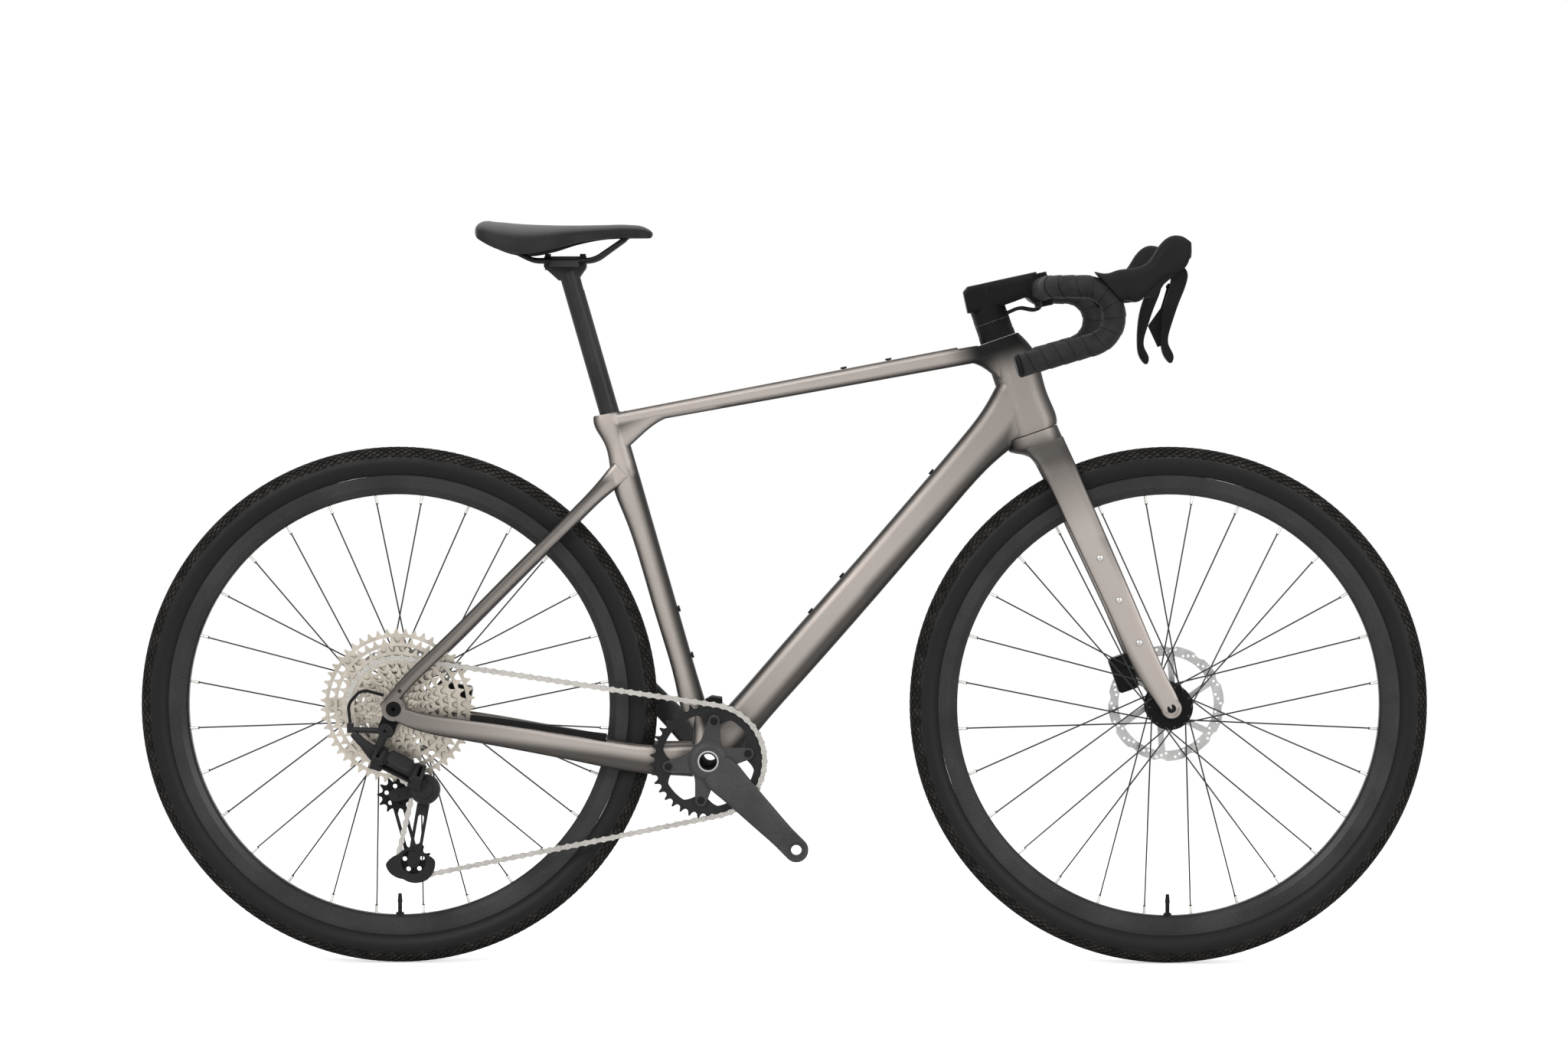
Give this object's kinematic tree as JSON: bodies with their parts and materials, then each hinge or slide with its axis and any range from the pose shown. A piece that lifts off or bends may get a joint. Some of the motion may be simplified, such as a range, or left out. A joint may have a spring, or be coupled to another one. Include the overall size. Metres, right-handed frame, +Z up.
{
  "type": "gravel bike",
  "caption": "Gravel bike with drop bars, dropped seatstays, disc brakes, wide rear cassette, single chainring and knobbly tyres, shown without pedals.",
  "frame": {"origin": "on the ground, midway between the two axles, in the middle plane of the frame", "axes": "+X towards the front wheel, +Y to the rider's left, +Z up"},
  "size_m": [1.7689, 0.5, 1.0198],
  "materials": {
    "frame_paint": "satin metallic grey",
    "tyre_rubber": "matte",
    "rim_black": "satin black",
    "spoke_black": "black stainless",
    "black_alloy": "satin black",
    "silver_alloy": "machined",
    "steel": "brushed",
    "rotor_steel": "ground",
    "chain_steel": "plated",
    "black_plastic": "moulded",
    "black_composite": "satin composite",
    "hood_rubber": "textured",
    "tape": "wrapped tape",
    "saddle_cover": "synthetic",
    "guard_rubber": "moulded",
    "housing": "cable housing"
  },
  "bodies": {
    "frame": {"frame": "frame_paint", "frame_bearings": "steel", "seatpost_wedge": "black_alloy", "derailleur_hanger": "black_alloy", "bottle_bolts": "steel", "chain_guards": "guard_rubber", "rear_caliper": "black_alloy", "rear_thru_axle": "black_alloy", "shift_housing": "housing", "chain": "chain_steel"},
    "seatpost": {"seatpost": "black_alloy", "saddle_clamp": "black_alloy"},
    "saddle": {"saddle_padding": "saddle_cover", "saddle_shell": "black_plastic", "saddle_rails": "steel"},
    "steering": {"fork": "frame_paint", "headset_spacers": "black_alloy", "stem": "black_alloy", "stem_faceplate": "black_alloy", "stem_bolts": "steel", "handlebar": "black_alloy", "bar_tape": "tape", "bar_end_plugs": "black_plastic", "lever_hoods": "hood_rubber", "lever_brackets": "black_alloy", "front_caliper": "black_alloy", "front_thru_axle": "black_alloy", "steering_hoses": "housing"},
    "front_wheel": {"front_tyre": "tyre_rubber", "front_rim": "rim_black", "front_spokes": "spoke_black", "front_hub": "black_alloy", "front_hub_bearings": "steel", "front_rotor": "rotor_steel", "front_valve": "black_alloy"},
    "rear_wheel": {"rear_tyre": "tyre_rubber", "rear_rim": "rim_black", "rear_spokes": "spoke_black", "rear_hub": "black_alloy", "rear_hub_bearings": "steel", "rear_rotor": "rotor_steel", "rear_valve": "black_alloy"},
    "cassette": {"cassette": "silver_alloy", "freehub_body": "steel"},
    "crank": {"crank_arm_right": "black_alloy", "crank_arm_left": "black_alloy", "chainring": "black_alloy", "crank_bolts": "steel", "crank_spindle": "steel"},
    "right_lever_carrier": {"right_lever_carrier": "black_alloy"},
    "right_brake_lever": {"right_brake_lever": "black_composite"},
    "right_shift_paddle": {"right_shift_paddle": "black_plastic"},
    "left_brake_lever": {"left_brake_lever": "black_composite"},
    "derailleur_b_knuckle": {"derailleur_b_knuckle": "black_alloy"},
    "derailleur_outer_link": {"derailleur_outer_link": "black_alloy"},
    "derailleur_inner_link": {"derailleur_inner_link": "black_alloy"},
    "derailleur_p_knuckle": {"derailleur_p_knuckle": "black_alloy"},
    "derailleur_cage": {"derailleur_cage": "black_alloy"},
    "guide_pulley": {"guide_pulley": "black_plastic"},
    "tension_pulley": {"tension_pulley": "black_plastic"}
  },
  "joints": [
    {"name": "steering_turn", "type": "hinge", "parent": "frame", "child": "steering", "pos_m": [0.33945, 0, 0.72994], "axis": [-0.3297, 0, 0.9441], "range_deg": [-60, 60]},
    {"name": "front_wheel_spin", "type": "hinge", "parent": "steering", "child": "front_wheel", "pos_m": [0.529, 0, 0.3555], "axis": [0, 1, 0], "continuous": true},
    {"name": "rear_wheel_spin", "type": "hinge", "parent": "frame", "child": "rear_wheel", "pos_m": [-0.529, 0, 0.3555], "axis": [0, 1, 0], "continuous": true},
    {"name": "crank_spin", "type": "hinge", "parent": "frame", "child": "crank", "pos_m": [-0.102, 0, 0.283], "axis": [0, 1, 0], "continuous": true, "deforming": ["chain"]},
    {"name": "cassette_spin", "type": "hinge", "parent": "frame", "child": "cassette", "pos_m": [-0.529, 0, 0.3555], "axis": [0, 1, 0], "continuous": true},
    {"name": "seatpost_height", "type": "slide", "parent": "frame", "child": "seatpost", "axis": [-0.2773, 0, 0.9608], "range_m": [-0.06, 0.05]},
    {"name": "saddle_setback", "type": "slide", "parent": "seatpost", "child": "saddle", "axis": [1, 0, 0], "range_m": [-0.008, 0.015]},
    {"name": "right_brake_pull", "type": "hinge", "parent": "steering", "child": "right_lever_carrier", "pos_m": [0.49803, -0.214, 0.94387], "axis": [0, 1, 0], "range_deg": [0, 18], "stiffness_Nm_per_rad": 3, "springref_deg": -6.88},
    {"name": "left_brake_pull", "type": "hinge", "parent": "steering", "child": "left_brake_lever", "pos_m": [0.49803, 0.214, 0.94387], "axis": [0, 1, 0], "range_deg": [0, 18], "stiffness_Nm_per_rad": 3, "springref_deg": -6.88},
    {"name": "right_lever_swing", "type": "hinge", "parent": "right_lever_carrier", "child": "right_brake_lever", "pos_m": [0.514, -0.214, 0.94387], "axis": [1, 0, 0], "range_deg": [0, 15], "stiffness_Nm_per_rad": 1.5, "springref_deg": -8.59},
    {"name": "right_paddle_swing", "type": "hinge", "parent": "right_brake_lever", "child": "right_shift_paddle", "pos_m": [0.512, -0.2035, 0.92587], "axis": [1, 0, 0], "range_deg": [0, 12], "stiffness_Nm_per_rad": 0.8, "springref_deg": -8.59},
    {"name": "derailleur_b_pivot", "type": "hinge", "parent": "frame", "child": "derailleur_b_knuckle", "pos_m": [-0.54, -0.08, 0.326], "axis": [0, 1, 0], "range_deg": [0, 18], "stiffness_Nm_per_rad": 4, "springref_deg": -17.19, "deforming": ["shift_housing"]},
    {"name": "derailleur_shift", "type": "hinge", "parent": "derailleur_b_knuckle", "child": "derailleur_outer_link", "pos_m": [-0.544, -0.084, 0.292], "axis": [0.2248, 0.689, 0.689], "range_deg": [-47.5, 18.7]},
    {"name": "derailleur_inner_swing", "type": "hinge", "parent": "derailleur_b_knuckle", "child": "derailleur_inner_link", "pos_m": [-0.54699, -0.07385, 0.28283], "axis": [0.2248, 0.689, 0.689], "range_deg": [-47.5, 18.7]},
    {"name": "derailleur_p_swing", "type": "hinge", "parent": "derailleur_outer_link", "child": "derailleur_p_knuckle", "pos_m": [-0.50061, -0.075, 0.26884], "axis": [0.2248, 0.689, 0.689], "range_deg": [-18.7, 47.5]},
    {"name": "cage_swing", "type": "hinge", "parent": "derailleur_p_knuckle", "child": "derailleur_cage", "pos_m": [-0.489, -0.0337, 0.2435], "axis": [0, 1, 0], "range_deg": [-35, 0]},
    {"name": "guide_pulley_spin", "type": "hinge", "parent": "derailleur_cage", "child": "guide_pulley", "pos_m": [-0.5315, -0.0337, 0.2336], "axis": [0, 1, 0], "continuous": true},
    {"name": "tension_pulley_spin", "type": "hinge", "parent": "derailleur_cage", "child": "tension_pulley", "pos_m": [-0.50669, -0.0337, 0.14293], "axis": [0, 1, 0], "continuous": true}
  ],
  "couplings": [
    {"joint": "cassette_spin", "follows": "crank_spin", "ratio": 1.1515},
    {"joint": "guide_pulley_spin", "follows": "crank_spin", "ratio": -3.4545},
    {"joint": "tension_pulley_spin", "follows": "crank_spin", "ratio": 3.4545},
    {"joint": "derailleur_inner_swing", "follows": "derailleur_shift", "ratio": 1},
    {"joint": "derailleur_p_swing", "follows": "derailleur_shift", "ratio": -1}
  ]
}
